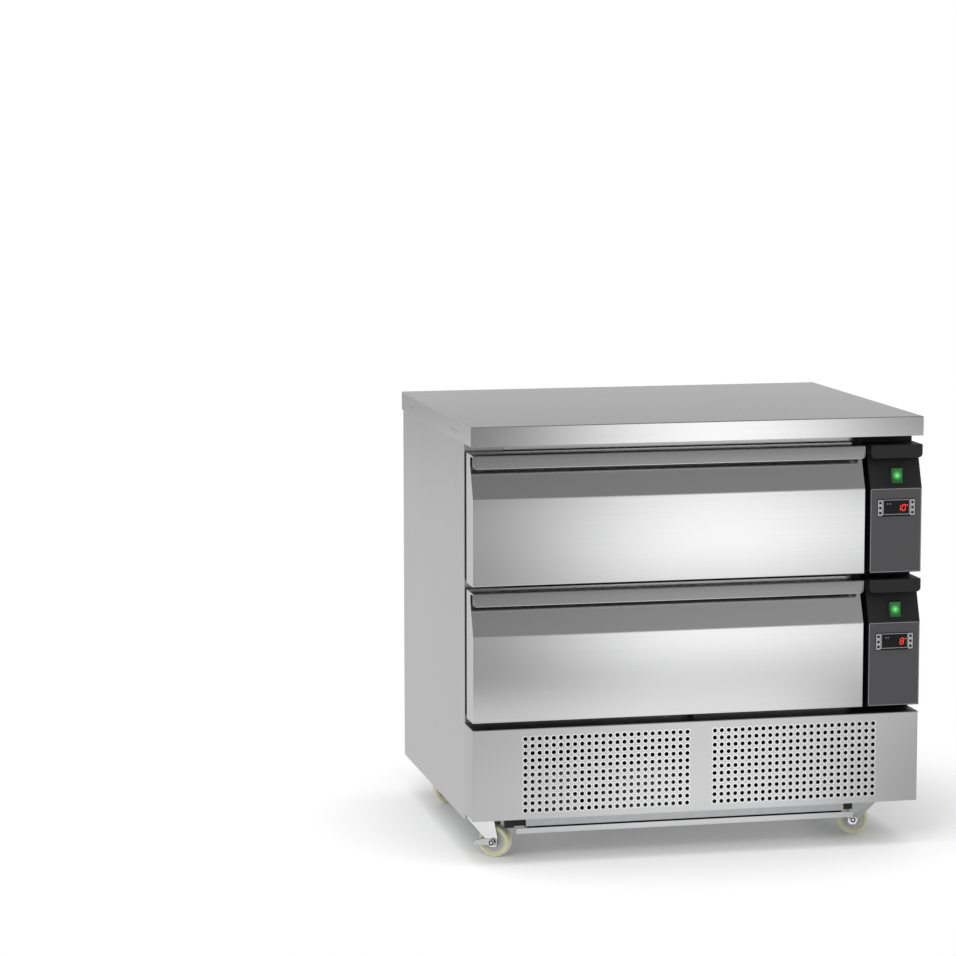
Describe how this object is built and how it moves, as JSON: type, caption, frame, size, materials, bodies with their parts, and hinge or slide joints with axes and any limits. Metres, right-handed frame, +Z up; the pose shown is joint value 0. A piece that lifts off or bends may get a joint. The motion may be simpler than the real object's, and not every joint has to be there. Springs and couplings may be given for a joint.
{
  "type": "refrigerated drawer counter",
  "caption": "Stainless refrigerated counter on castors: flat worktop, two grip-lip drawers beside a black control column, and a perforated base panel.",
  "frame": {"origin": "centre of the footprint on the floor", "axes": "+X to the right seen from the drawer side, +Y from the drawer side to the back, +Z up"},
  "size_m": [0.9, 0.7, 0.85],
  "materials": {
    "stainless": "brushed",
    "zinc_plate": "satin",
    "black_plastic": "matte",
    "grey_foil": "satin",
    "display": "gloss",
    "green_lens": "gloss",
    "seal": "matte",
    "foam": "matte",
    "board": "matte",
    "wheel_cream": "satin",
    "fins": "satin",
    "pot_black": "satin",
    "fan_plastic": "matte"
  },
  "bodies": {
    "cabinet": {"worktop": "stainless", "worktop_core": "board", "side_panel_left": "stainless", "side_panel_right": "stainless", "rear_panel": "zinc_plate", "front_frame": "stainless", "liner_lower": "stainless", "liner_upper": "stainless", "insulation": "foam", "evaporators": "fins", "control_housing": "black_plastic", "base_panel": "stainless", "chassis_pan": "zinc_plate", "tray_guides": "zinc_plate", "compressor": "pot_black", "condenser": "fins", "fan_motor": "pot_black", "cable_gland": "black_plastic", "fixing_screws": "pot_black", "castor_plates": "zinc_plate", "castor_bolts": "zinc_plate", "runner_fixed_lower": "zinc_plate", "fascia_lower": "black_plastic", "overlay_lower": "grey_foil", "controller_lower": "display", "switch_case_lower": "black_plastic", "runner_fixed_upper": "zinc_plate", "fascia_upper": "black_plastic", "overlay_upper": "grey_foil", "controller_upper": "display", "switch_case_upper": "black_plastic"},
    "drawer_lower": {"drawer_front_lower": "stainless", "drawer_panel_lower": "black_plastic", "gasket_lower": "seal", "drawer_frame_lower": "stainless", "drawer_tub_lower": "stainless", "runner_drawer_lower": "zinc_plate"},
    "runner_lower": {"runner_middle_lower": "zinc_plate"},
    "switch_lower": {"rocker_lower": "green_lens"},
    "drawer_upper": {"drawer_front_upper": "stainless", "drawer_panel_upper": "black_plastic", "gasket_upper": "seal", "drawer_frame_upper": "stainless", "drawer_tub_upper": "stainless", "runner_drawer_upper": "zinc_plate"},
    "runner_upper": {"runner_middle_upper": "zinc_plate"},
    "switch_upper": {"rocker_upper": "green_lens"},
    "fan": {"fan_wheel": "fan_plastic"},
    "tray": {"drip_tray": "stainless"},
    "fork_front_left": {"castor_fork_front_left": "zinc_plate"},
    "wheel_front_left": {"castor_wheel_front_left": "wheel_cream"},
    "pedal_front_left": {"brake_pedal_front_left": "zinc_plate"},
    "fork_front_right": {"castor_fork_front_right": "zinc_plate"},
    "wheel_front_right": {"castor_wheel_front_right": "wheel_cream"},
    "pedal_front_right": {"brake_pedal_front_right": "zinc_plate"},
    "fork_rear_left": {"castor_fork_rear_left": "zinc_plate"},
    "wheel_rear_left": {"castor_wheel_rear_left": "wheel_cream"},
    "fork_rear_right": {"castor_fork_rear_right": "zinc_plate"},
    "wheel_rear_right": {"castor_wheel_rear_right": "wheel_cream"}
  },
  "joints": [
    {"name": "drawer_lower_slide", "type": "slide", "parent": "cabinet", "child": "drawer_lower", "axis": [0, -1, 0], "range_m": [0, 0.5]},
    {"name": "runner_lower_slide", "type": "slide", "parent": "cabinet", "child": "runner_lower", "axis": [0, -1, 0], "range_m": [0, 0.25]},
    {"name": "switch_lower_rock", "type": "hinge", "parent": "cabinet", "child": "switch_lower", "pos_m": [0.4005, -0.33518, 0.46863], "axis": [1, 0, 0], "range_deg": [-16, 0]},
    {"name": "drawer_upper_slide", "type": "slide", "parent": "cabinet", "child": "drawer_upper", "axis": [0, -1, 0], "range_m": [0, 0.5]},
    {"name": "runner_upper_slide", "type": "slide", "parent": "cabinet", "child": "runner_upper", "axis": [0, -1, 0], "range_m": [0, 0.25]},
    {"name": "switch_upper_rock", "type": "hinge", "parent": "cabinet", "child": "switch_upper", "pos_m": [0.4005, -0.33518, 0.73263], "axis": [1, 0, 0], "range_deg": [-16, 0]},
    {"name": "fan_spin", "type": "hinge", "parent": "cabinet", "child": "fan", "pos_m": [-0.185, -0.258, 0.168], "axis": [0, 1, 0], "continuous": true},
    {"name": "tray_slide", "type": "slide", "parent": "cabinet", "child": "tray", "axis": [0, -1, 0], "range_m": [0, 0.45]},
    {"name": "castor_front_left_swivel", "type": "hinge", "parent": "cabinet", "child": "fork_front_left", "pos_m": [-0.406, -0.253, 0.08], "axis": [0, 0, 1], "continuous": true},
    {"name": "castor_front_left_roll", "type": "hinge", "parent": "fork_front_left", "child": "wheel_front_left", "pos_m": [-0.38503, -0.26662, 0.031], "axis": [0.5446, 0.8387, 0], "continuous": true},
    {"name": "castor_front_left_brake", "type": "hinge", "parent": "fork_front_left", "child": "pedal_front_left", "pos_m": [-0.38503, -0.26662, 0.031], "axis": [0.5446, 0.8387, 0], "range_deg": [0, 18]},
    {"name": "castor_front_right_swivel", "type": "hinge", "parent": "cabinet", "child": "fork_front_right", "pos_m": [0.3785, -0.238, 0.08], "axis": [0, 0, 1], "continuous": true},
    {"name": "castor_front_right_roll", "type": "hinge", "parent": "fork_front_right", "child": "wheel_front_right", "pos_m": [0.35424, -0.23195, 0.031], "axis": [-0.2419, -0.9703, 0], "continuous": true},
    {"name": "castor_front_right_brake", "type": "hinge", "parent": "fork_front_right", "child": "pedal_front_right", "pos_m": [0.35424, -0.23195, 0.031], "axis": [-0.2419, -0.9703, 0], "range_deg": [0, 18]},
    {"name": "castor_rear_left_swivel", "type": "hinge", "parent": "cabinet", "child": "fork_rear_left", "pos_m": [-0.406, 0.21, 0.08], "axis": [0, 0, 1], "continuous": true},
    {"name": "castor_rear_left_roll", "type": "hinge", "parent": "fork_rear_left", "child": "wheel_rear_left", "pos_m": [-0.38124, 0.21348, 0.031], "axis": [-0.1392, 0.9903, 0], "continuous": true},
    {"name": "castor_rear_right_swivel", "type": "hinge", "parent": "cabinet", "child": "fork_rear_right", "pos_m": [0.3785, 0.21, 0.08], "axis": [0, 0, 1], "continuous": true},
    {"name": "castor_rear_right_roll", "type": "hinge", "parent": "fork_rear_right", "child": "wheel_rear_right", "pos_m": [0.35374, 0.21348, 0.031], "axis": [-0.1392, -0.9903, 0], "continuous": true}
  ],
  "couplings": [
    {"joint": "runner_lower_slide", "follows": "drawer_lower_slide", "ratio": 0.5},
    {"joint": "runner_upper_slide", "follows": "drawer_upper_slide", "ratio": 0.5}
  ]
}
